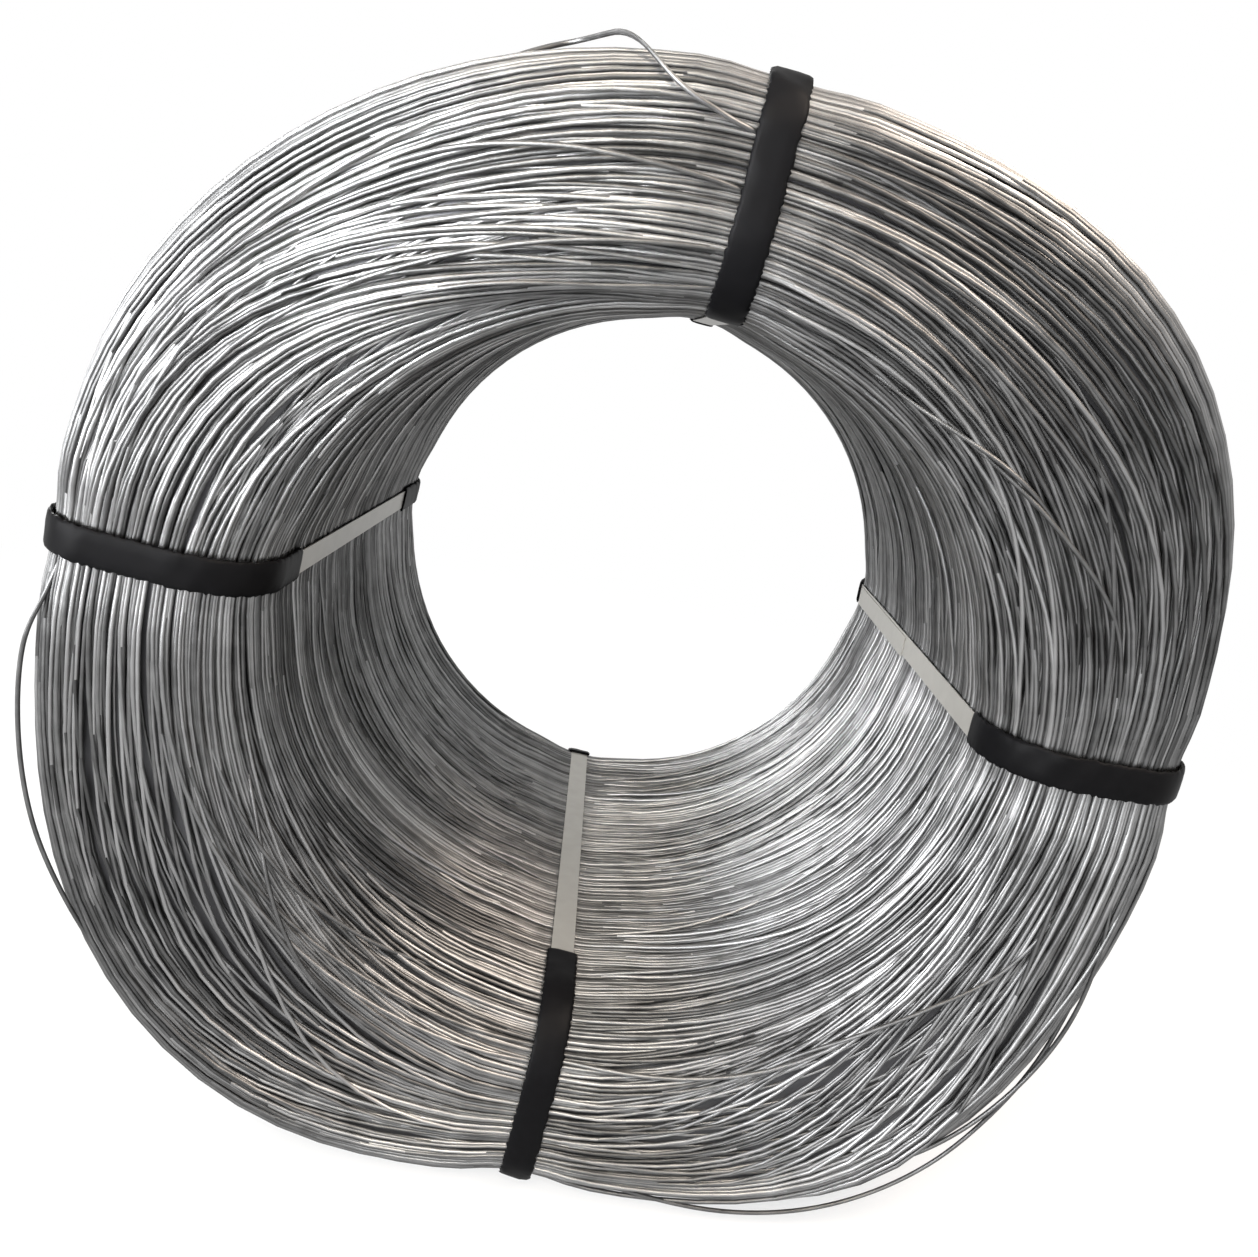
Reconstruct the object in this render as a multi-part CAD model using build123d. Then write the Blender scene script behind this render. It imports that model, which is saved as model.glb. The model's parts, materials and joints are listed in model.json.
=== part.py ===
"""Coil of galvanised steel wire, bound by four steel straps in plastic sleeves.

Millimetres. +Z is up. The bore's axis lies along Y, the front face looks towards -Y, and the origin is
at the middle of the bore. The coil stands on its rim, as it does in the photo. Clock angles are in
degrees from the top, clockwise as seen from the front.
"""
import math
import os
from typing import NamedTuple

from build123d import *

# The winding: the bore, the width between its faces, and how round its four edges are
bore_radius = 254.0
coil_width = 560.0
bore_edge_radius = 62.0
rim_edge_radius = 40.0

# How deep the wire lies on the bore at each strap
top_build = 148.0
right_build = 139.0
bottom_build = 162.5
left_build = 153.0

# How far the wire bulges out past the straps, between each strap and the next one clockwise
upper_right_lobe = 28.0
lower_right_lobe = 39.0
lower_left_lobe = 52.0
upper_left_lobe = 9.0

# The bundles of turns that show as ridges: how many on the rounded edge of the bore, on the flat of each
# face, on each rounded edge of the rim and across the rim, how far apart they are on the face, and how deep
# the grooves between them are
MOUTH_TURNS = 2
FACE_TURNS = 3
EDGE_TURNS = 2
RIM_TURNS = 6
face_turn_pitch = 30.0
turn_groove_depth = 2.4

# The steel straps, and the one whose lapped end shows in the bore: how far in front of the bore's middle its
# loose end lies, and how far it has slipped sideways on the strap below it
strap_width = 19.0
strap_thickness = 0.9
LAPPED_TIE = "right"
lap_end_distance = 7.5
lap_slip = 2.0

# The flat plastic sleeves that the straps run through, with room for a lapped strap, and how far a tight
# sleeve sinks into the wire of the rim and the faces
sleeve_width = 25.0
sleeve_wall = 0.8
sleeve_clearance = 0.2
bed_depth = 3.0

# How far each sleeve reaches into the bore, from the plane of the front face and of the back face
top_front_reach = 53.0
right_front_reach = 70.0
bottom_front_reach = 98.0
left_front_reach = 97.0
back_reach = 54.0
left_back_reach = 122.0

# What cutting tools run past the faces that they cut
overrun = 10.0


class Tie(NamedTuple):
    """A strap and its sleeve, with clock and lean in degrees, the depth of wire below them, the lobe that
    follows them clockwise and the share of the way to the next tie where that lobe is highest."""

    name: str
    clock: float
    lean: float
    build: float
    lobe: float
    crest_share: float
    front_reach: float
    back_reach: float


TIES = [
    Tie("top", 5.7, 0.6, top_build, upper_right_lobe, 0.52, top_front_reach, back_reach),
    Tie("right", 90.5, 1.0, right_build, lower_right_lobe, 0.56, right_front_reach, back_reach),
    Tie("bottom", 184.9, 2.1, bottom_build, lower_left_lobe, 0.39, bottom_front_reach, back_reach),
    Tie("left", 277.3, -1.3, left_build, upper_left_lobe, 0.35, left_front_reach, left_back_reach),
]

# Into how many stretches each span of the rim's outline is divided, and the small turn in degrees that
# its slope is measured over
STRETCHES_PER_SPAN = 4
SLOPE_TURN = 2.0

half_width = coil_width / 2

# How far a sleeve's outside lies over the seat of its strap: in the bore it is flush with the wire
sleeve_rise = 2 * strap_thickness + sleeve_clearance + sleeve_wall


def rim_radius(clock):
    """Radius of the rim at a clock angle: a straight change from tie to tie, and a lobe on it."""
    for tie, following in zip(TIES, TIES[1:] + TIES[:1]):
        share = (clock - tie.clock) % 360 / ((following.clock - tie.clock) % 360)
        if share < 1:
            warp = share ** (math.log(0.5) / math.log(tie.crest_share))
            depth = tie.build + (following.build - tie.build) * share + tie.lobe * math.sin(math.pi * warp) ** 2
            return bore_radius + depth


def rim_point(clock, inset):
    """The point of the winding's outline at a clock angle, drawn in from the rim."""
    return Vector(math.sin(math.radians(clock)), math.cos(math.radians(clock))) * (rim_radius(clock) - inset)


def rim_outline(inset):
    """The lobed outline of the winding, drawn in from the rim, as pairs of tangent arcs from point to point."""
    clocks = []
    for tie, following in zip(TIES, TIES[1:] + TIES[:1]):
        span = (following.clock - tie.clock) % 360
        clocks += [tie.clock + span * step / STRETCHES_PER_SPAN for step in range(STRETCHES_PER_SPAN)]
    edges = []
    for clock, next_clock in zip(clocks, clocks[1:] + clocks[:1]):
        start, end = rim_point(clock, inset), rim_point(next_clock, inset)
        before, after = rim_point(clock - SLOPE_TURN, inset), rim_point(clock + SLOPE_TURN, inset)
        leave = (after - before).normalized()
        before, after = rim_point(next_clock - SLOPE_TURN, inset), rim_point(next_clock + SLOPE_TURN, inset)
        arrive = (after - before).normalized()
        chord = end - start
        both = leave + arrive
        turn = 2 * (1 - leave.dot(arrive))
        reach = (math.sqrt(chord.dot(both) ** 2 + turn * chord.dot(chord)) - chord.dot(both)) / turn
        middle = (start + leave * reach + end - arrive * reach) / 2
        edges.append(TangentArc(start, middle, tangent=leave))
        edges.append(TangentArc(middle, end, tangent=end - arrive * reach - start - leave * reach))
    return edges


def ridged_quarter(radius, turns):
    """Points of a quarter round with ridges on it, from its axis side: how far along, and how far out."""
    points = []
    for step in range(2 * turns + 1):
        angle = math.pi / 2 * step / (2 * turns)
        reach = radius - turn_groove_depth * (step % 2)
        points.append((reach * math.sin(angle), reach * math.cos(angle)))
    return points


def rim_sections():
    """Places across the rim, each with how far the outline is drawn in there, from the back to the front."""
    corner = half_width - rim_edge_radius
    quarter = [(corner + out, rim_edge_radius - along) for along, out in ridged_quarter(rim_edge_radius, EDGE_TURNS)]
    flat = []
    for step in range(1, 2 * RIM_TURNS):
        flat.append((corner - corner * step / RIM_TURNS, turn_groove_depth * (step % 2)))
    return quarter + flat + [(-place, inset) for place, inset in reversed(quarter)]


def mouth_cutter():
    """What is turned away at one end of the bore, to leave the ridges of the turns round it."""
    corner = half_width - bore_edge_radius
    centre = bore_radius + bore_edge_radius
    points = [(corner + along, centre - out) for along, out in ridged_quarter(bore_edge_radius, MOUTH_TURNS)]
    for step in range(1, 2 * FACE_TURNS + 1):
        points.append((half_width - turn_groove_depth * (step % 2), centre + face_turn_pitch * step / 2))
    outside = half_width + overrun
    points += [(outside, points[-1][1]), (outside, bore_radius - overrun), (corner, bore_radius - overrun)]
    return revolve(Plane.YZ * make_face(Polyline(*points, close=True)), Axis.Y, 360)


def tie_plane(tie):
    """The plane that a strap lies in: X points out from the bore's axis, and Z goes clockwise."""
    a = math.radians(tie.clock)
    out = Vector(math.sin(a), 0, math.cos(a))
    clockwise = Vector(math.cos(a), 0, -math.sin(a))
    away = Vector(0, 1, 0)
    tilt = math.radians(tie.lean)
    return Plane(origin=(0, 0, 0), x_dir=out, z_dir=clockwise * math.cos(tilt) - away * math.sin(tilt))


def loop(tie, grow):
    """The rounded section that a strap goes round, grown or shrunk on all sides."""
    inner = bore_radius + sleeve_rise - grow
    outer = bore_radius + tie.build - bed_depth + sleeve_wall + grow
    half = half_width - bed_depth + sleeve_wall + grow
    section = Pos((inner + outer) / 2, 0) * Rectangle(outer - inner, 2 * half)
    groups = section.vertices().group_by(Axis.X)
    section = fillet(groups[0], bore_edge_radius + grow)
    groups = section.vertices().group_by(Axis.X)
    return fillet(groups[-1], rim_edge_radius + grow)


def band(tie, low, high, width):
    """A flat band round the section, between two distances from the strap's seat."""
    return extrude(loop(tie, high) - loop(tie, low), width / 2, both=True)


def outside(tie, grow, width):
    """Everything in a strap's plane that lies outside the section, as wide as a strap or a sleeve."""
    far = bore_radius + tie.build + tie.lobe + overrun
    length = coil_width + 2 * overrun
    return Pos(far / 2, 0) * Box(far, length, width) - extrude(loop(tie, grow), width, both=True)


def bore_stretch(front, back):
    """The part of a strap's plane beside the bore, between two places along the width."""
    depth = bore_radius + bore_edge_radius
    return Pos(depth / 2, (front + back) / 2) * Box(depth, back - front, 2 * sleeve_width)


def bare_stretch(tie):
    """The part of a strap's plane where no sleeve covers the strap."""
    return bore_stretch(tie.front_reach - half_width, half_width - tie.back_reach)


def lap_stretch():
    """The part of a strap's plane where the lapped strap is double."""
    return Pos(0, 0, lap_slip) * bore_stretch(bore_edge_radius - half_width, -lap_end_distance)


def seat(tie):
    """What is cut from the winding for one tie: a bed for the sleeve, and a bed for the bare strap."""
    cut = (outside(tie, -sleeve_wall, sleeve_width) - bare_stretch(tie)) + outside(tie, 0, strap_width)
    if tie.name == LAPPED_TIE:
        cut += Pos(0, 0, lap_slip) * outside(tie, strap_thickness, strap_width) & lap_stretch()
    return cut


def strap(tie):
    """One closed steel strap, with its lapped end if that shows."""
    shape = band(tie, 0, strap_thickness, strap_width)
    if tie.name == LAPPED_TIE:
        second = band(tie, strap_thickness, 2 * strap_thickness, strap_width)
        shape += Pos(0, 0, lap_slip) * second & lap_stretch()
    return shape


def sleeve(tie):
    """One flat plastic tube: round the front face, the rim and the back face, and a way into the bore."""
    room = 2 * strap_thickness + sleeve_clearance
    tube = band(tie, -sleeve_wall, sleeve_rise, sleeve_width)
    cavity = band(tie, 0, room, sleeve_width - 2 * sleeve_wall)
    return (tube - cavity) - bare_stretch(tie)


def winding():
    """The wound wire as one solid, with its bore, its ridged turns and the beds of the ties."""
    sections = []
    for place, inset in rim_sections():
        sections.append(Plane.XZ.offset(-place) * make_face(rim_outline(inset)))
    body = loft(sections, ruled=True)
    body -= Rot(90, 0, 0) * Cylinder(bore_radius, coil_width + 2 * overrun)
    cutter = mouth_cutter()
    body -= cutter
    body -= mirror(cutter, about=Plane.XZ)
    for tie in TIES:
        body -= tie_plane(tie) * seat(tie)
    return body


os.makedirs("parts", exist_ok=True)
nodes = {"wire_coil": winding()}
for tie in TIES:
    nodes["steel_strap_" + tie.name] = tie_plane(tie) * strap(tie)
    nodes["strap_sleeve_" + tie.name] = tie_plane(tie) * sleeve(tie)
for node, shape in nodes.items():
    shape.label = node
    export_step(shape, f"parts/{node}.step")
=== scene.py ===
"""Looks for the coil of galvanised steel wire: its strands, straps, sleeves, light and camera.

Metres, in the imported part's frame: +Z up, the bore's axis along Y, the front face towards -Y. Clock
angles are in degrees from the top, clockwise as seen from the front.
"""
import json
import math

import bpy
import numpy as np
from mathutils import Matrix, Vector


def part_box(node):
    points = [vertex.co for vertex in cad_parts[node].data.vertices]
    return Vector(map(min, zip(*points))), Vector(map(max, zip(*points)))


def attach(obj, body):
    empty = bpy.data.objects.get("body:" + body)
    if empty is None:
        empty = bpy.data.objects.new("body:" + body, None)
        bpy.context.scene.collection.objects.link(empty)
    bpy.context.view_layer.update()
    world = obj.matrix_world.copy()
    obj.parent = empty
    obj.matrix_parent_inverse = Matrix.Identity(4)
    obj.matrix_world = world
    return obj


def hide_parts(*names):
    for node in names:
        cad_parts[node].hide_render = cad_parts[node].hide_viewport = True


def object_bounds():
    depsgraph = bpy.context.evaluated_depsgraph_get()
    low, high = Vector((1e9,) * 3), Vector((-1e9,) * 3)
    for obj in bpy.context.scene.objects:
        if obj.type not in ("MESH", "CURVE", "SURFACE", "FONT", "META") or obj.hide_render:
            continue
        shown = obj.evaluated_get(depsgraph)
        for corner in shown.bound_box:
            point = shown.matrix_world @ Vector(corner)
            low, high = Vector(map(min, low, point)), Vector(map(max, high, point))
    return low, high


MM = 0.001

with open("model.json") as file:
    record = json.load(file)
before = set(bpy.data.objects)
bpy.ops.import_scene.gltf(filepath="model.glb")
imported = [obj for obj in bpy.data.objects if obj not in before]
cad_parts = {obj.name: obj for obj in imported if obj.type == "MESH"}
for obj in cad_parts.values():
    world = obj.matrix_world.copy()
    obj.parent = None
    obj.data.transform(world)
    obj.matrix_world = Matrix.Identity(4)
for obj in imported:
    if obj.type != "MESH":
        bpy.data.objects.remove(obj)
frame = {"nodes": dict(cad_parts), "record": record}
cad_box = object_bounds()

# The winding, from the frame and from the part's own sizes
BORE = frame["record"]["mounts"][0]["dims"]["r_mm"] * MM
HALF_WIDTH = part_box("wire_coil")[1].y
BORE_EDGE = 62 * MM
RIM_EDGE = 40 * MM
FLAT_WAY = 50 * MM
WIRE = 3.3 * MM

# The ties: name, clock angle, lean of the strap in degrees, depth of wire below it, the lobe of wire that
# follows it clockwise, and the share of the way to the next tie where that lobe is highest
TIES = [
    ("top", 5.7, 0.6, 148 * MM, 28 * MM, 0.52),
    ("right", 90.5, 1.0, 139 * MM, 39 * MM, 0.56),
    ("bottom", 184.9, 2.1, 162.5 * MM, 52 * MM, 0.39),
    ("left", 277.3, -1.3, 153 * MM, 9 * MM, 0.35),
]

# How the straps press the wires down, and the share of its depth that a lower wire keeps under them. Both
# wear off over these lengths from the sleeve's edge
SEAT_DEPTH = 3.7 * MM
SEAT_LENGTH = 42 * MM
TIE_SQUEEZE = 0.4
SQUEEZE_LENGTH = 70 * MM

# Sleeves: the teeth along their edges, and waves of the whole sleeve, its edges and its skin, as the length
# and the size of each
SLEEVE_WIDTH = 25 * MM
SLEEVE_THICK = 3.6 * MM
SLEEVE_PROUD = 0.6 * MM
SLEEVE_STEP = 2.0 * MM
TOOTH = 0.8 * MM
TOOTH_DROP = 0.6
SWAY = (60 * MM, 0.4 * MM)
EDGE_WAVE = (45 * MM, 0.25 * MM)
SKIN_WAVE = (9 * MM, 0.12 * MM)

# Where the sleeves rise from the wire of the bore, as shares of the way to the bore's edge
BORE_END_SHARES = (0.85, 1.1)

# Creases: the length of a wave along the sleeve, how it turns across the sleeve, and its share
CREASES = [(4.1 * MM, 2.2, 0.5), (7.3 * MM, -3.1, 0.3)]

# A sleeve's section, as shares of half its width and half its thickness: thickest over the strap inside it
SLEEVE_SECTION_SHARES = np.array([
    (-1, 0), (-0.95, 0.55), (-0.78, 0.9), (-0.3, 1), (0.3, 1), (0.78, 0.9),
    (0.95, 0.55), (1, 0), (0.8, -1), (0.3, -1), (-0.3, -1), (-0.8, -1),
])

# How far from the middle of the bore each sleeve ends, in front and behind, and its wrinkles: where round
# the section they are, how far they spread and how high they stand, all in millimetres
SLEEVE_ENDS = {"top": (228.5, 226), "right": (210, 226), "bottom": (182.5, 226), "left": (182.5, 158)}
WRINKLES = {
    "top": [(250, 16, 0.5), (330, 40, 0.4), (402, 14, 1.5)],
    "right": [(262, 16, 0.6), (300, 22, 1.3), (335, 16, 1.0)],
    "bottom": [(215, 30, 0.4), (300, 26, 0.6), (392, 16, 0.9)],
    "left": [(240, 18, 0.5), (296, 20, 0.9), (385, 20, 0.7)],
}

# Wires that stand off the winding: clock angles, places round the section and heights over it in
# millimetres
LOOSE_WIRES = [
    [(336, 430, 0), (340, 438, 4), (343.5, 450, 9), (347, 454, 12), (350.5, 422, 9), (355, 384, 6),
     (360, 368, 4), (365, 361, 0)],
    [(322, 360, 0), (334, 356, 3), (345, 346, 4), (354, 336, 4), (366, 326, 0)],
    [(318, 300, 0), (332, 282, 3), (346, 266, 4), (356, 262, 3), (366, 262, 0)],
    [(277, 386, 0), (272, 392, 3), (266, 404, 9), (258, 406, 11), (249, 402, 10), (240, 396, 5),
     (230, 390, 0)],
    [(108, 392, 0), (119, 398, 3), (130, 410, 8), (140, 412, 13), (150, 408, 13), (160, 400, 9),
     (170, 390, 3), (178, 384, 0)],
    [(104, 346, 0), (116, 332, 3), (126, 316, 4), (136, 304, 4), (148, 300, 3), (162, 318, 0)],
    [(96, 398, 0), (108, 384, 3), (120, 372, 5), (132, 372, 4), (146, 384, 0)],
    [(100, 372, 0), (112, 388, 4), (124, 402, 5), (136, 396, 3), (148, 380, 0)],
    [(250, 262, 0), (240, 276, 3), (228, 296, 5), (216, 312, 4), (202, 318, 0)],
    [(256, 286, 0), (244, 282, 3), (230, 276, 5), (214, 262, 3), (202, 246, 0)],
    [(24, 262, 0), (40, 272, 3), (56, 296, 4), (70, 320, 3), (84, 330, 0)],
    [(20, 250, 0), (34, 262, 3), (50, 290, 4), (64, 304, 0)],
]
LOOSE_STATIONS = 60
LOOSE_END_DEPTH = 2.4 * WIRE
LOOSE_END_CURVE = 0.6
LOOSE_TONE = 0.15

# Loose wires count as this many degrees from a tie, where no strap presses them down
LOOSE_AWAY = 20

# Places round the winding's section are told by their way from the middle of the bore: forwards is positive,
# and the flat of each face counts as wide as it is at the ties
BORE_WAY = HALF_WIDTH - BORE_EDGE
EDGE_WAY = BORE_WAY + BORE_EDGE * math.pi / 2
FACE_WAY = EDGE_WAY + FLAT_WAY
CORNER_WAY = FACE_WAY + RIM_EDGE * math.pi / 2
RIM_WAY = CORNER_WAY + HALF_WIDTH - RIM_EDGE

# How the wires of the top layers run over the front from each tie to the next one clockwise: pairs of
# places, in millimetres round the section, where they leave one tie and where they reach the next
DRIFTS = {
    "top": [(0, 0), (60, 45), (130, 110), (200, 190), (245, 255), (285, 280), (320, 332), (353, 362),
            (384, 393), (440, 440), (668, 668)],
    "right": [(0, -10), (60, 40), (130, 100), (200, 172), (245, 238), (272, 262), (285, 356), (320, 378),
              (363, 400), (393, 427), (440, 450), (668, 668)],
    "bottom": [(0, 10), (60, 82), (130, 153), (200, 225), (245, 245), (285, 262), (315, 275), (344, 317),
               (370, 395), (400, 409), (440, 440), (668, 668)],
    "left": [(0, 0), (60, 60), (200, 200), (245, 232), (285, 240), (320, 250), (349, 270), (365, 300),
             (379, 380), (409, 415), (440, 440), (668, 668)],
}

# A full row of wires side by side round the section, and the layers of each span. Deep wires: share of a
# full row and height. Ribbons, from below upwards: height, share of a full row, wires to a ribbon, how far
# ribbons stray at the ties, and whether they are evenly spaced at the far tie, not at the near one
FULL_ROW = int(2 * RIM_WAY / WIRE)
DEEP_LAYER = (0.95, -1.9 * WIRE)
RIBBON_LAYERS = [
    (-1.2 * WIRE, 0.6, 16, 4 * MM, False),
    (-1.0 * WIRE, 0.6, 14, 4 * MM, True),
    (-0.6 * WIRE, 0.35, 10, 6 * MM, True),
    (-0.5 * WIRE, 0.35, 10, 6 * MM, False),
]
STRAY_COUNT = 20
CORE_HEIGHT = -2.7 * WIRE
CORE_AROUND = 120
CORE_ACROSS = 80

# How unevenly ribbons lie, and each wire in them: heights, waves of the height, shifts at the ties, swerves
# between them and tones
RIBBON_RISE = 0.4 * WIRE
OWN_RISE = 0.18 * WIRE
RIBBON_WAVE = 0.5 * WIRE
OWN_WAVE = 0.1 * WIRE
OWN_SHIFT = 0.5 * MM
RIBBON_SWERVE = 6 * MM
OWN_SWERVE = 0.7 * MM
RIBBON_DRAW = (-0.05, 0.12)
RIBBON_TONE = 0.08
TONES = (0, 0.6)

# The same for the deep wires and for those that stray over the others
DEEP_SHIFT = 4 * MM
DEEP_JOSTLE = 0.3
DEEP_WAVE = 0.3 * WIRE
DEEP_SWERVE = 4 * MM
DEEP_TONES = (0, 0.5)
STRAY_SHIFT = 26 * MM
STRAY_HEIGHTS = (0.1, 0.8)
STRAY_WAVE = 0.2 * WIRE
STRAY_SWERVE = 8 * MM
STRAY_TONES = (0.1, 0.7)

# Where wires crowd at a tie: the step that tells how close they come, the least room that counts, and the
# most layers that they make
CROWD_STEP = 3 * MM
CROWD_ROOM = 0.2
CROWD_LAYERS = 3

# The tubes of the strands: sides and radius, a little over the wire's own to make up for the flat sides
TOP_SIDES = 4
TOP_RADIUS = WIRE / 2 * 1.04
DEEP_SIDES = 3
DEEP_RADIUS = WIRE / 2 * 1.1

# Stations of a strand from one tie to the next, closer together near the ties, and how much more of its
# drift a strand makes halfway than near them
STATION_GAPS = np.array([0, 10, 20, 32, 48, 68, 90, 113, 137, 161, 186, 211, 236, 260.0])
HALF_SHARES = STATION_GAPS / STATION_GAPS[-1] / 2
SHARES = np.concatenate([HALF_SHARES, 1 - HALF_SHARES[::-1][1:]])
DRIFT_EASE = 0.8

# Finishes. Drawn zinc shines sharper along the wire than round it: how much, and how far the finish is
# turned from the coil's tangent, as a share of a full turn
DRAWN_SHARE = 0.7
DRAWN_TURN = 0.25
ZINC_COLOURS = ((0.1, 0.1, 0.1, 1), (0.44, 0.44, 0.44, 1))
ZINC_ROUGHNESS = 0.42
# The core's colours are the zinc darkened: painted shade of the wire deep in the winding
CORE_SHADE_COLOURS = ((0.10, 0.10, 0.105, 1), (0.2, 0.2, 0.21, 1))
CORE_ROUGHNESS = 0.5
BLOTCH_SCALE = 60
BLOTCH_DETAIL = 4
BLOTCH_SHARE = 0.5
TONE_START = 0.25
MOTTLE_DETAIL = 6
BUMP_DISTANCE = 0.3 * MM
STRAP_COLOUR = (0.34, 0.33, 0.305)
SLEEVE_COLOUR = (0.004, 0.004, 0.0045)

# The camera, as it stood for the photograph
IMAGE_WIDTH = 1258
FOCAL_PIXELS = 1050
SENSOR = 36
CAMERA_PLACE = Vector((-19.2, -936.4, 245.4)) * MM
CAMERA_PITCH = 16.2
CAMERA_YAW = -0.16
CAMERA_ROLL = 4.61
CAMERA_REACH = 50
COIL_TURN = 4.5

# The floor: half its side, its dim colour for the light that it throws back, its pale one for the camera,
# and how its own white takes over from the coil's shadow, from one distance to another
FLOOR_SIZE = 14
FLOOR_DIM = (0.16, 0.16, 0.16)
FLOOR_PALE = (0.85, 0.85, 0.85, 1)
FLOOR_ROUGHNESS = 0.95
FLOOR_GLOW = 0.7
FLOOR_FADE = (0.4, 1.8)

# The dome: the way to its brightest side, and its strength where a direction faces away from that and to it
DOME_TOP = (-0.7, -0.35, 0.6)
DOME_LOW = (-0.9, 0.44)
DOME_HIGH = (0.9, 0.88)

# The lamps: name, place, aim, size, power in watts, colour, and the spread of the light in degrees
MIDDLE = (0, -0.2, 0)
UPPER_LEFT = (-0.17, -0.28, 0.3)
COOL = (0.96, 0.98, 1.0)
LAMPS = [
    ("left", (-1.8, -1.42, 0.26), MIDDLE, 1.0, 68, (0.97, 0.98, 1.0), 180),
    ("front_left", (-0.95, -1.35, 0.3), MIDDLE, 0.5, 4.25, COOL, 180),
    ("front", (-0.4, -1.45, 0.15), MIDDLE, 0.5, 4.42, COOL, 180),
    ("front_high_left", (-0.4, -0.9, 0.42), UPPER_LEFT, 0.3, 1.44, COOL, 60),
    ("front_high", (-0.3, -1.5, 1.3), MIDDLE, 0.6, 17, (1.0, 0.88, 0.72), 180),
    ("top_right", (1.0, -0.8, 1.76), MIDDLE, 1.0, 51, (1.0, 0.84, 0.7), 180),
    ("back_left", (-1.7, 1.7, 1.0), MIDDLE, 1.0, 34, (1.0, 1.0, 1.0), 180),
]

rng = np.random.default_rng(7)


def make_camera():
    """Places the camera where the photograph was taken from."""
    pitch, yaw, roll, turn = (math.radians(a) for a in (CAMERA_PITCH, CAMERA_YAW, CAMERA_ROLL, COIL_TURN))
    ahead = Vector((math.sin(yaw) * math.cos(pitch), math.cos(yaw) * math.cos(pitch), -math.sin(pitch)))
    right = ahead.cross(Vector((0, 0, 1))).normalized()
    up = right.cross(ahead)
    rolled_right = right * math.cos(roll) + up * math.sin(roll)
    rolled_up = up * math.cos(roll) - right * math.sin(roll)
    facing = Matrix((rolled_right, rolled_up, -ahead)).transposed()
    turned = Matrix.Rotation(-turn, 3, "Y") @ facing
    data = bpy.data.cameras.new("camera")
    data.sensor_width = SENSOR
    data.lens = FOCAL_PIXELS / IMAGE_WIDTH * SENSOR
    data.clip_end = CAMERA_REACH
    camera = bpy.data.objects.new("camera", data)
    camera.matrix_world = Matrix.Translation(CAMERA_PLACE) @ turned.to_4x4()
    bpy.context.scene.collection.objects.link(camera)
    bpy.context.scene.camera = camera


make_camera()


def rim_radius(clock):
    """Radius of the rim at clock angles in degrees."""
    radius = np.zeros_like(clock)
    for tie, following in zip(TIES, TIES[1:] + TIES[:1]):
        _, angle, _, depth_here, lobe, lobe_share = tie
        span = (following[1] - angle) % 360
        share = (clock - angle) % 360 / span
        warp = np.clip(share, 0, 1) ** (math.log(0.5) / math.log(lobe_share))
        depth = depth_here + (following[3] - depth_here) * share + lobe * np.sin(math.pi * warp) ** 2
        radius = np.where(share < 1, BORE + depth, radius)
    return radius


def surface(clock, way):
    """Radius, y and their outward normal at clock angles and places round the section."""
    way = (way + RIM_WAY) % (2 * RIM_WAY) - RIM_WAY
    side = -np.sign(way)
    way = np.abs(way)
    rim = rim_radius(clock)
    inner, outer = BORE + BORE_EDGE, rim - RIM_EDGE
    edge_turn = np.clip((way - BORE_WAY) / BORE_EDGE, 0, math.pi / 2)
    face_share = np.clip((way - EDGE_WAY) / (FACE_WAY - EDGE_WAY), 0, 1)
    corner_turn = np.clip((way - FACE_WAY) / RIM_EDGE, 0, math.pi / 2)
    r = inner - BORE_EDGE * np.cos(edge_turn) + (outer - inner) * face_share
    r = r + RIM_EDGE * np.sin(corner_turn)
    y = np.minimum(way, BORE_WAY) + BORE_EDGE * np.sin(edge_turn) - RIM_EDGE * (1 - np.cos(corner_turn))
    y = y - np.clip(way - CORNER_WAY, 0, None)
    tilt = edge_turn + corner_turn
    return r, side * y, -np.cos(tilt), side * np.sin(tilt)


def smooth(x):
    """A smooth step from 0 to 1."""
    x = np.clip(x, 0, 1)
    return x * x * (3 - 2 * x)


def strand_points(clock, way, height, lean, away):
    """Points and normals of strands at clock angles, places round the section and heights over it, with the
    lean of the straps and the clock angle to the nearest tie."""
    r, y, nr, ny = surface(clock, way)
    away = away * math.pi / 180 * r
    rise = smooth((away - SLEEVE_WIDTH / 2) / SEAT_LENGTH)
    lift = smooth((away - SLEEVE_WIDTH / 2) / SQUEEZE_LENGTH)
    squeezed = TIE_SQUEEZE * np.minimum(height, 0)
    level = height * lift + squeezed * (1 - lift) - SEAT_DEPTH * (1 - rise) - WIRE / 2
    r = r + nr * level
    y = y + ny * level
    angle = np.radians(clock) + lean * y / r
    point = np.stack([r * np.sin(angle), y, r * np.cos(angle)], -1)
    normal = np.stack([nr * np.sin(angle), ny, nr * np.cos(angle)], -1)
    return point, normal


def span_points(index, start, end, height, bow):
    """Points and normals of strands that run from one tie to the next: places round the section at both,
    heights over it at every station, and how far each strand swerves on the way."""
    _, clock0, lean0, _, _, _ = TIES[index]
    _, clock1, lean1, _, _, _ = TIES[(index + 1) % len(TIES)]
    span = (clock1 - clock0) % 360
    clock = clock0 + span * SHARES
    ease = SHARES - DRIFT_EASE * np.sin(2 * math.pi * SHARES) / (2 * math.pi)
    way = start[:, None] + (end - start)[:, None] * ease + bow
    lean = np.where(SHARES < 0.5, np.tan(math.radians(lean0)), np.tan(math.radians(lean1)))
    lean = lean * np.abs(1 - 2 * SHARES)
    away = span * np.minimum(SHARES, 1 - SHARES)
    clock = np.broadcast_to(clock, way.shape)
    return strand_points(clock, way, height, lean, away)


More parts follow.
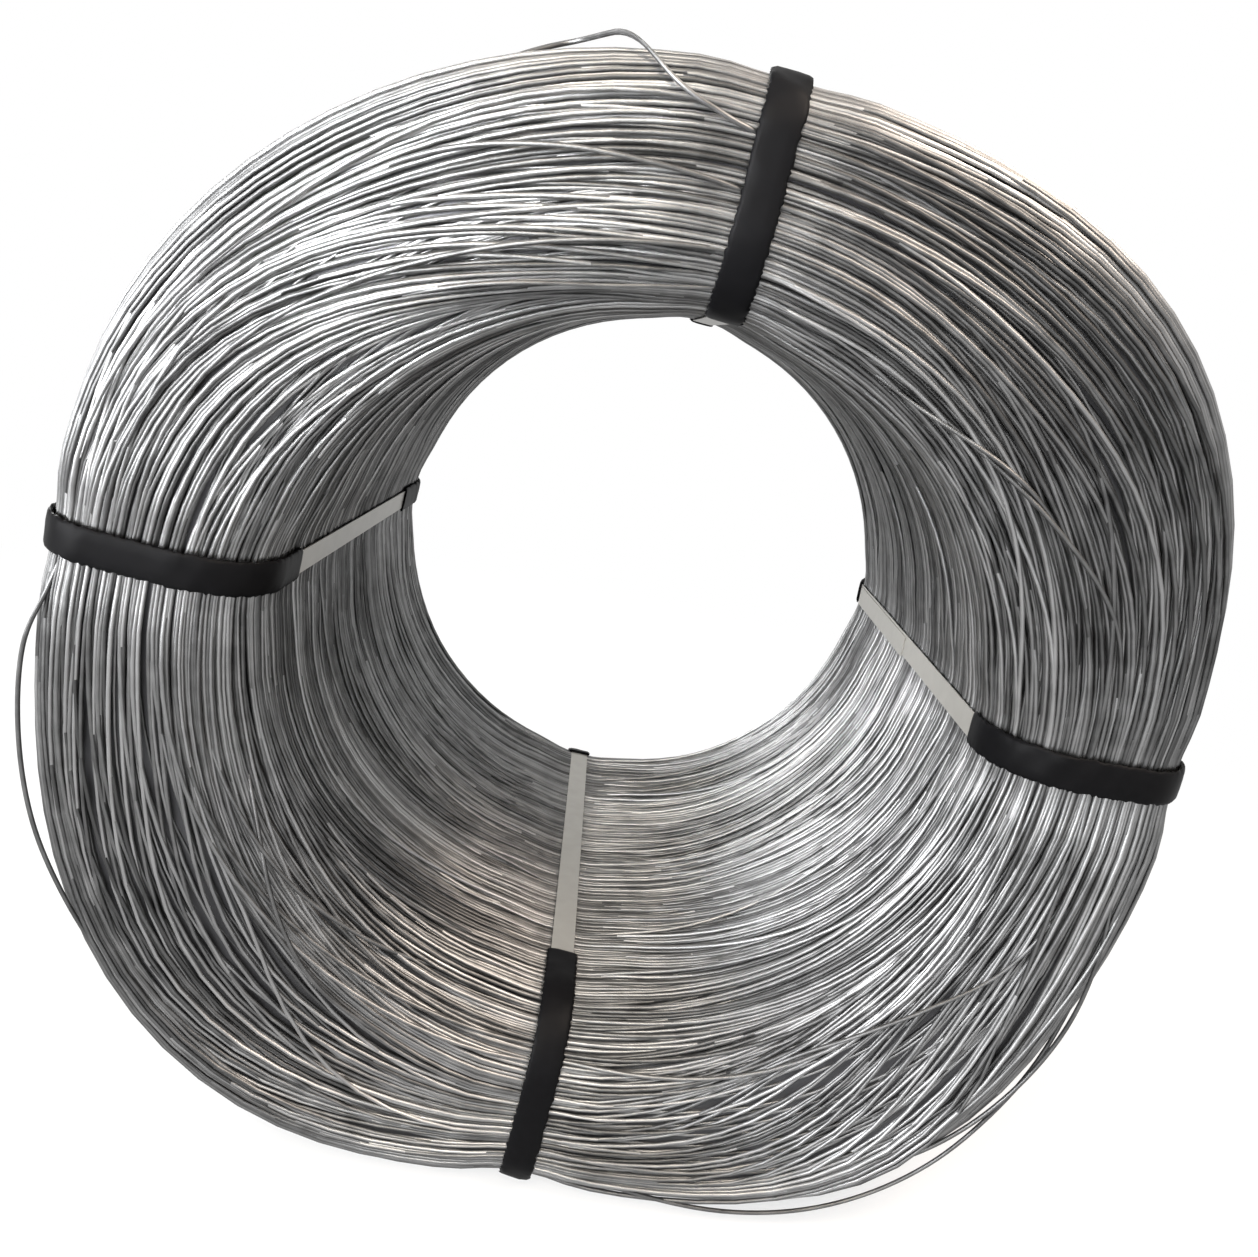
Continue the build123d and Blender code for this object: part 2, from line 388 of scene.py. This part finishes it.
def tube_mesh(name, points, normals, radius, tones, sides):
    """A mesh of closed-ended tubes along rows of points, with a tone for each."""
    n, m, _ = points.shape
    tangent = np.gradient(points, axis=1)
    tangent /= np.linalg.norm(tangent, axis=2, keepdims=True)
    side = np.cross(tangent, normals)
    side /= np.linalg.norm(side, axis=2, keepdims=True)
    up = np.cross(side, tangent)
    rings = []
    for k in range(sides):
        a = 2 * math.pi * k / sides
        rings.append(points + (up * math.cos(a) + side * math.sin(a)) * radius)
    co = np.stack(rings, 2)
    index = np.arange(n * m * sides).reshape(n, m, sides)
    near, far = index[:, :-1], index[:, 1:]
    quads = np.stack([near, np.roll(near, -1, 2), np.roll(far, -1, 2), far], -1).reshape(-1, 4)
    caps = np.concatenate([index[:, 0, ::-1], index[:, -1]])
    corners = np.concatenate([quads.reshape(-1), caps.reshape(-1)])
    totals = np.concatenate([np.full(len(quads), 4), np.full(len(caps), sides)])
    mesh = bpy.data.meshes.new(name)
    mesh.vertices.add(co.size // 3)
    mesh.vertices.foreach_set("co", co.reshape(-1))
    mesh.loops.add(corners.size)
    mesh.loops.foreach_set("vertex_index", corners)
    mesh.polygons.add(len(totals))
    mesh.polygons.foreach_set("loop_start", np.cumsum(totals) - totals)
    mesh.polygons.foreach_set("loop_total", totals)
    mesh.update(calc_edges=True)
    mesh.shade_smooth()
    mesh.use_auto_texspace = False
    mesh.texspace_location = (0, 0, 0)
    mesh.texspace_size = (1, 1, 1)
    layer = mesh.attributes.new("tone", "FLOAT", "POINT")
    layer.data.foreach_set("value", np.repeat(tones, m * sides))
    piece = bpy.data.objects.new(name, mesh)
    bpy.context.scene.collection.objects.link(piece)
    return piece


def swerve(count, size):
    """Smooth swerves between two ties, without effect at either, one row for each strand."""
    out = np.zeros((count, len(SHARES)))
    for k in range(1, 4):
        amount = rng.normal(0, size / k ** 1.5, (count, 1))
        out += amount * np.sin(k * math.pi * SHARES) * np.sin(math.pi * SHARES)
    return out


def noise_node(nodes, links, scale, detail):
    """Noise in the object's own space."""
    place = nodes.new("ShaderNodeTexCoord")
    noise = nodes.new("ShaderNodeTexNoise")
    noise.inputs["Scale"].default_value = scale
    noise.inputs["Detail"].default_value = detail
    links.new(place.outputs["Object"], noise.inputs["Vector"])
    return noise


def metal(name, colours, roughness):
    """Bright drawn zinc: it shines sharper along the wire than round it, and has a tone of its own for each
    strand and faint blotches along it."""
    material = bpy.data.materials.new(name)
    material.use_nodes = True
    nodes, links = material.node_tree.nodes, material.node_tree.links
    shader = nodes["Principled BSDF"]
    shader.inputs["Metallic"].default_value = 1.0
    shader.inputs["Roughness"].default_value = roughness
    shader.inputs["Anisotropic"].default_value = DRAWN_SHARE
    shader.inputs["Anisotropic Rotation"].default_value = DRAWN_TURN
    along = nodes.new("ShaderNodeTangent")
    along.direction_type = "RADIAL"
    along.axis = "Y"
    links.new(along.outputs["Tangent"], shader.inputs["Tangent"])
    tone = nodes.new("ShaderNodeAttribute")
    tone.attribute_name = "tone"
    noise = noise_node(nodes, links, BLOTCH_SCALE, BLOTCH_DETAIL)
    mix = nodes.new("ShaderNodeMath")
    mix.operation = "MULTIPLY_ADD"
    mix.inputs[1].default_value = BLOTCH_SHARE
    links.new(noise.outputs["Fac"], mix.inputs[0])
    links.new(tone.outputs["Fac"], mix.inputs[2])
    ramp = nodes.new("ShaderNodeValToRGB")
    ramp.color_ramp.elements[0].position = TONE_START
    ramp.color_ramp.elements[0].color, ramp.color_ramp.elements[1].color = colours
    links.new(mix.outputs[0], ramp.inputs["Fac"])
    links.new(ramp.outputs["Color"], shader.inputs["Base Color"])
    return material


def wear(piece, material):
    """Gives a piece its material and lets it ride on the part's one body."""
    piece.data.materials.clear()
    piece.data.materials.append(material)
    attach(piece, "root")


ZINC = metal("zinc", ZINC_COLOURS, ZINC_ROUGHNESS)

# The strands that are gathered for each span, as points, normals and tones: those that show, and those below
gathered = {i: [] for i in range(len(TIES))}
below = {i: [] for i in range(len(TIES))}


def add(index, start, end, height, bow, tones, store=gathered):
    """Gathers strands for a span."""
    points, normals = span_points(index, start, end, height, bow)
    store[index].append((points, normals, tones))


def bundles(count, size):
    """Numbers that share out a row of strands among neighbouring bundles."""
    marks = np.zeros(count)
    at = 0
    while at < count:
        marks[at] = 1
        at += int(rng.integers(size // 2, size * 3 // 2))
    return np.cumsum(marks).astype(int) - 1


def drifted(index, way, back=False):
    """Where strands reach the next tie, or come from, by the drift over the front and the back."""
    front = np.array(DRIFTS[TIES[index][0]], float) * MM
    rear = np.array(DRIFTS[TIES[(index + 2) % len(TIES)][0]], float) * MM
    pairs = np.concatenate([-rear[::-1], front[1:]])
    starts, ends = pairs[:, 0], pairs[:, 1]
    if back:
        return np.interp(way, ends, starts)
    return np.interp(way, starts, ends)


def sunk(index, way, back):
    """How deep strands lie at the tie where more of them come together than there is room for."""
    reach = drifted(index, way + CROWD_STEP, back) - drifted(index, way - CROWD_STEP, back)
    room = reach / (2 * CROWD_STEP)
    surplus = np.clip(1 / np.maximum(room, CROWD_ROOM) - 1, 0, CROWD_LAYERS)
    return rng.uniform(0, 1, len(way)) * surplus * WIRE


def ribbon_layer(index, level, cover, size, gather, back):
    """Bundles of wires that lie side by side. They are evenly spaced at one tie, follow the drift to the
    other one and draw together or apart on the way."""
    count = int(FULL_ROW * cover)
    even = (np.arange(count) + rng.uniform(0, 1)) / count * 2 * RIM_WAY - RIM_WAY
    mark = bundles(count, size)
    ribbons = mark[-1] + 1
    middle = (np.bincount(mark, even) / np.bincount(mark))[mark]
    across = even - middle
    shift = rng.normal(0, gather, (ribbons, 2))[mark] + rng.normal(0, OWN_SHIFT, (count, 2))
    other = drifted(index, even, back)
    start, end = (other, even) if back else (even, other)
    depth = sunk(index, even, back)[:, None] * (1 - SHARES if back else SHARES)
    height = level + rng.uniform(-RIBBON_RISE, RIBBON_RISE, ribbons)[mark] + rng.normal(0, OWN_RISE, count)
    height = height[:, None] + swerve(ribbons, RIBBON_WAVE)[mark] + swerve(count, OWN_WAVE) - depth
    draw = rng.normal(*RIBBON_DRAW, ribbons)[mark]
    bow = across[:, None] * draw[:, None] * np.sin(math.pi * SHARES) ** 2
    bow = bow + swerve(ribbons, RIBBON_SWERVE)[mark] + swerve(count, OWN_SWERVE)
    tones = rng.uniform(*TONES, count) + rng.normal(0, RIBBON_TONE, ribbons)[mark]
    add(index, start + shift[:, 0], end + shift[:, 1], height, bow, tones)


def straight_layer(index, cover, level):
    """Strands that keep their places, as the wire lies below."""
    count = int(FULL_ROW * cover)
    jostle = rng.uniform(-DEEP_JOSTLE, DEEP_JOSTLE, count)
    even = (np.arange(count) + jostle) / count * 2 * RIM_WAY - RIM_WAY
    shift = rng.normal(0, DEEP_SHIFT, (count, 2))
    height = level + swerve(count, DEEP_WAVE)
    bow, tones = swerve(count, DEEP_SWERVE), rng.uniform(*DEEP_TONES, count)
    add(index, even + shift[:, 0], even + shift[:, 1], height, bow, tones, below)


def stray_layer(index, count):
    """Single wires that lie on the others and cross them."""
    start = rng.uniform(-RIM_WAY, RIM_WAY, count)
    end = drifted(index, start) + rng.normal(0, STRAY_SHIFT, count)
    height = rng.uniform(*STRAY_HEIGHTS, count)[:, None] * WIRE + swerve(count, STRAY_WAVE)
    add(index, start, end, height, swerve(count, STRAY_SWERVE), rng.uniform(*STRAY_TONES, count))


def smooth_curve(knots, stations):
    """Stations on a smooth curve through the knots, evenly shared out between them."""
    knots = np.array(knots, float)
    ahead = np.concatenate([2 * knots[:1] - knots[1:2], knots, 2 * knots[-1:] - knots[-2:-1]])
    t = np.linspace(0, len(knots) - 1.001, stations)
    k = t.astype(int)
    u = (t - k)[:, None]
    a, b, c, d = ahead[k], ahead[k + 1], ahead[k + 2], ahead[k + 3]
    bend = 2 * a - 5 * b + 4 * c - d
    twist = 3 * b - a - 3 * c + d
    return 0.5 * (2 * b + (c - a) * u + bend * u ** 2 + twist * u ** 3)


def loose_strands():
    """The wires that stand off the winding, each with its ends down among the others."""
    rows = np.array([smooth_curve(knots, LOOSE_STATIONS) for knots in LOOSE_WIRES])
    clock, way, height = rows[..., 0], rows[..., 1] * MM, rows[..., 2] * MM
    arch = np.sin(np.linspace(0, math.pi, LOOSE_STATIONS)) ** LOOSE_END_CURVE
    height = height - LOOSE_END_DEPTH * (1 - arch)
    away = np.full_like(clock, LOOSE_AWAY)
    points, normals = strand_points(clock, way, height, np.zeros_like(clock), away)
    tones = np.full(len(rows), LOOSE_TONE)
    piece = tube_mesh("loose_strands", points, normals, WIRE / 2, tones, TOP_SIDES)
    wear(piece, ZINC)


def plain_mesh(name, points, faces):
    """A smooth mesh of points and faces, as an object in the scene."""
    mesh = bpy.data.meshes.new(name)
    mesh.from_pydata(points, [], faces)
    mesh.shade_smooth()
    piece = bpy.data.objects.new(name, mesh)
    bpy.context.scene.collection.objects.link(piece)
    return piece


def core():
    """The body of the winding below the strands that show, darkened as painted shade of the deep wire."""
    clocks = np.arange(CORE_AROUND) * 360 / CORE_AROUND
    ways = np.arange(CORE_ACROSS) / CORE_ACROSS * 2 * RIM_WAY
    clock, way = np.meshgrid(clocks, ways, indexing="ij")
    height = np.full(clock.shape, CORE_HEIGHT)
    points, _ = strand_points(clock, way, height, np.zeros_like(clock), np.zeros_like(clock))
    index = np.arange(clock.size).reshape(clock.shape)
    onward = np.roll(index, -1, 0)
    quads = np.stack([index, np.roll(index, -1, 1), np.roll(onward, -1, 1), onward], -1)
    piece = plain_mesh("wire_core", points.reshape(-1, 3).tolist(), quads.reshape(-1, 4).tolist())
    wear(piece, metal("zinc_deep_painted_shade", CORE_SHADE_COLOURS, CORE_ROUGHNESS))
    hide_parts("wire_coil")


def strands(name, parts, radius, sides):
    """All the gathered strands of one span as one piece."""
    points, normals, tones = (np.concatenate([part[k] for part in parts]) for k in range(3))
    wear(tube_mesh(name, points, normals, radius, tones, sides), ZINC)


core()
for i in range(len(TIES)):
    straight_layer(i, *DEEP_LAYER)
    for level, cover, size, gather, back in RIBBON_LAYERS:
        ribbon_layer(i, level, cover, size, gather, back)
    stray_layer(i, STRAY_COUNT)
loose_strands()
for i, parts in gathered.items():
    strands("strands_" + TIES[i][0], parts, TOP_RADIUS, TOP_SIDES)
for i, parts in below.items():
    strands("strands_below_" + TIES[i][0], parts, DEEP_RADIUS, DEEP_SIDES)


def plain(name, colour, roughness, metallic=0.0, scale=40, contrast=0.25, gloss=0.5, bump=0.0):
    """A simple procedural finish: a colour with faint mottling and a fine bump."""
    material = bpy.data.materials.new(name)
    material.use_nodes = True
    nodes, links = material.node_tree.nodes, material.node_tree.links
    shader = nodes["Principled BSDF"]
    shader.inputs["Metallic"].default_value = metallic
    shader.inputs["Roughness"].default_value = roughness
    shader.inputs["Specular IOR Level"].default_value = gloss
    noise = noise_node(nodes, links, scale, MOTTLE_DETAIL)
    ramp = nodes.new("ShaderNodeValToRGB")
    ramp.color_ramp.elements[0].color = (*[c * (1 - contrast) for c in colour], 1)
    ramp.color_ramp.elements[1].color = (*[min(1, c * (1 + contrast)) for c in colour], 1)
    links.new(noise.outputs["Fac"], ramp.inputs["Fac"])
    links.new(ramp.outputs["Color"], shader.inputs["Base Color"])
    if bump:
        relief = nodes.new("ShaderNodeBump")
        relief.inputs["Strength"].default_value = bump
        relief.inputs["Distance"].default_value = BUMP_DISTANCE
        links.new(noise.outputs["Fac"], relief.inputs["Height"])
        links.new(relief.outputs["Normal"], shader.inputs["Normal"])
    return material


STRAP_STEEL = plain("strap_steel", STRAP_COLOUR, 0.42, 0.6, scale=70, contrast=0.12, bump=0.15)
SLEEVE_PLASTIC = plain("sleeve_plastic", SLEEVE_COLOUR, 0.46, gloss=0.05, scale=160, bump=0.25)
for tie in (t[0] for t in TIES):
    node = frame["nodes"]["steel_strap_" + tie]
    node.data.materials.clear()
    node.data.materials.append(STRAP_STEEL)


def wander(places, length, size):
    """A smooth random line through places, that changes over a length."""
    knots = np.arange(places[0] - length, places[-1] + 2 * length, length)
    return np.interp(places, knots, rng.normal(0, size, len(knots)))


def sleeve(index):
    """One flat plastic sleeve, pressed down along its toothed edges and wrinkled where it bends."""
    name, clock, lean, _, _, _ = TIES[index]
    front, back = SLEEVE_ENDS[name]
    ways = np.arange(front * MM, 2 * RIM_WAY - back * MM, SLEEVE_STEP)
    r, y, nr, ny = surface(np.full_like(ways, clock), ways)
    a = math.radians(clock)
    out, clockwise = np.array([math.sin(a), 0, math.cos(a)]), np.array([math.cos(a), 0, -math.sin(a)])
    away = np.array([0, 1, 0])
    leaning = clockwise * (math.tan(math.radians(lean)) * y)[:, None]
    middle = out * r[:, None] + away * y[:, None] + leaning
    normal = out * nr[:, None] + away * ny[:, None]
    from_bore = np.minimum(np.abs(ways), np.abs(2 * RIM_WAY - ways)) / BORE_WAY
    in_bore = 1 - smooth((from_bore - BORE_END_SHARES[0]) / (BORE_END_SHARES[1] - BORE_END_SHARES[0]))
    level = SLEEVE_PROUD * (1 - in_bore) - SLEEVE_THICK / 2
    folds = np.zeros_like(ways)
    for place, spread, size in WRINKLES[name]:
        folds += size * MM * np.exp(-((ways / MM - place) / spread) ** 2)
    rows = []
    teeth = [rng.uniform(-1, 1, len(ways)) * TOOTH for _ in range(2)]
    sway = wander(ways, *SWAY)
    skin_length, skin_size = SKIN_WAVE
    (fine_length, fine_turn, fine_share), (long_length, long_turn, long_share) = CREASES
    for across, up in SLEEVE_SECTION_SHARES:
        edge = teeth[int(across > 0)] * abs(across) ** 6
        half = SLEEVE_WIDTH / 2 + edge + wander(ways, *EDGE_WAVE) * abs(across)
        crease = fine_share * np.sin(ways / fine_length + fine_turn * across)
        crease = crease + long_share * np.sin(ways / long_length + long_turn * across + clock)
        skin = skin_size * wander(ways, skin_length, 1) + folds * crease - TOOTH_DROP * np.abs(edge)
        lift = level + up * SLEEVE_THICK / 2 + skin * (up > 0)
        rows.append(middle + clockwise * (across * half + sway)[:, None] + normal * lift[:, None])
    co = np.stack(rows, 1)
    n, m, _ = co.shape
    grid = np.arange(n * m).reshape(n, m)
    near, far = grid[:-1], grid[1:]
    quads = np.stack([near, np.roll(near, -1, 1), np.roll(far, -1, 1), far], -1).reshape(-1, 4)
    caps = [grid[0, ::-1].tolist(), grid[-1].tolist()]
    piece = plain_mesh("sleeve_" + name, co.reshape(-1, 3).tolist(), quads.tolist() + caps)
    wear(piece, SLEEVE_PLASTIC)
    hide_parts("strap_sleeve_" + name)


for i in range(len(TIES)):
    sleeve(i)


def background_share(nodes, links):
    """A value of 1 for what the camera sees and for what metal and glass show, and 0 for plain light."""
    path = nodes.new("ShaderNodeLightPath")
    share = path.outputs["Is Camera Ray"]
    for ray in ("Is Glossy Ray", "Is Transmission Ray"):
        added = nodes.new("ShaderNodeMath")
        added.operation = "MAXIMUM"
        links.new(share, added.inputs[0])
        links.new(path.outputs[ray], added.inputs[1])
        share = added.outputs[0]
    return share


def make_floor():
    """A floor that keeps the coil's shadow and fades to white all round. Its colour is pale for the camera
    and dim for the light that it throws back on the coil."""
    s = FLOOR_SIZE
    mesh = bpy.data.meshes.new("floor")
    mesh.from_pydata([(-s, -s, 0), (s, -s, 0), (s, s, 0), (-s, s, 0)], [], [(0, 1, 2, 3)])
    floor = bpy.data.objects.new("floor", mesh)
    floor.location.z = cad_box[0][2]
    bpy.context.scene.collection.objects.link(floor)
    material = plain("floor", FLOOR_DIM, FLOOR_ROUGHNESS, contrast=0.01, scale=2)
    nodes, links = material.node_tree.nodes, material.node_tree.links
    glow = nodes.new("ShaderNodeEmission")
    glow.inputs["Strength"].default_value = 1.0
    place = nodes.new("ShaderNodeTexCoord")
    reach = nodes.new("ShaderNodeVectorMath")
    reach.operation = "LENGTH"
    links.new(place.outputs["Object"], reach.inputs[0])
    fade = nodes.new("ShaderNodeMapRange")
    fade.interpolation_type = "SMOOTHSTEP"
    fade.inputs["From Min"].default_value, fade.inputs["From Max"].default_value = FLOOR_FADE
    fade.inputs["To Min"].default_value = FLOOR_GLOW
    links.new(reach.outputs["Value"], fade.inputs["Value"])
    share = nodes.new("ShaderNodeMath")
    share.operation = "MULTIPLY"
    links.new(background_share(nodes, links), share.inputs[0])
    links.new(fade.outputs["Result"], share.inputs[1])
    pale = nodes.new("ShaderNodeBsdfDiffuse")
    pale.inputs["Color"].default_value = FLOOR_PALE
    path = nodes.new("ShaderNodeLightPath")
    seen = nodes.new("ShaderNodeMixShader")
    links.new(path.outputs["Is Camera Ray"], seen.inputs["Fac"])
    links.new(nodes["Principled BSDF"].outputs[0], seen.inputs[1])
    links.new(pale.outputs[0], seen.inputs[2])
    blend = nodes.new("ShaderNodeMixShader")
    links.new(share.outputs[0], blend.inputs["Fac"])
    links.new(seen.outputs[0], blend.inputs[1])
    links.new(glow.outputs[0], blend.inputs[2])
    links.new(blend.outputs[0], nodes["Material Output"].inputs["Surface"])
    floor.data.materials.append(material)


def make_world():
    """A soft dome, brightest at the upper left, and plain white for the camera and for what metal shows."""
    world = bpy.data.worlds.new("studio")
    bpy.context.scene.world = world
    world.use_nodes = True
    nodes, links = world.node_tree.nodes, world.node_tree.links
    background = nodes["Background"]
    background.inputs["Color"].default_value = (1, 1, 1, 1)
    place = nodes.new("ShaderNodeTexCoord")
    facing = nodes.new("ShaderNodeVectorMath")
    facing.operation = "DOT_PRODUCT"
    facing.inputs[1].default_value = Vector(DOME_TOP).normalized()
    links.new(place.outputs["Generated"], facing.inputs[0])
    strength = nodes.new("ShaderNodeMapRange")
    strength.inputs["From Min"].default_value, strength.inputs["To Min"].default_value = DOME_LOW
    strength.inputs["From Max"].default_value, strength.inputs["To Max"].default_value = DOME_HIGH
    links.new(facing.outputs["Value"], strength.inputs["Value"])
    seen = nodes.new("ShaderNodeMath")
    seen.operation = "MAXIMUM"
    links.new(background_share(nodes, links), seen.inputs[0])
    links.new(strength.outputs["Result"], seen.inputs[1])
    links.new(seen.outputs[0], background.inputs["Strength"])


def lamp(name, place, aim, size, power, colour, spread):
    """A square soft lamp that faces a place on the coil, with the spread of its light in degrees."""
    data = bpy.data.lights.new(name, "AREA")
    data.size = size
    data.energy = power
    data.color = colour
    data.spread = math.radians(spread)
    piece = bpy.data.objects.new(name, data)
    piece.location = place
    piece.rotation_euler = (Vector(aim) - Vector(place)).to_track_quat("-Z", "Y").to_euler()
    piece.visible_camera = False
    bpy.context.scene.collection.objects.link(piece)


make_floor()
make_world()
for row in LAMPS:
    lamp(*row)

view = bpy.context.scene.view_settings
view.view_transform = "Standard"
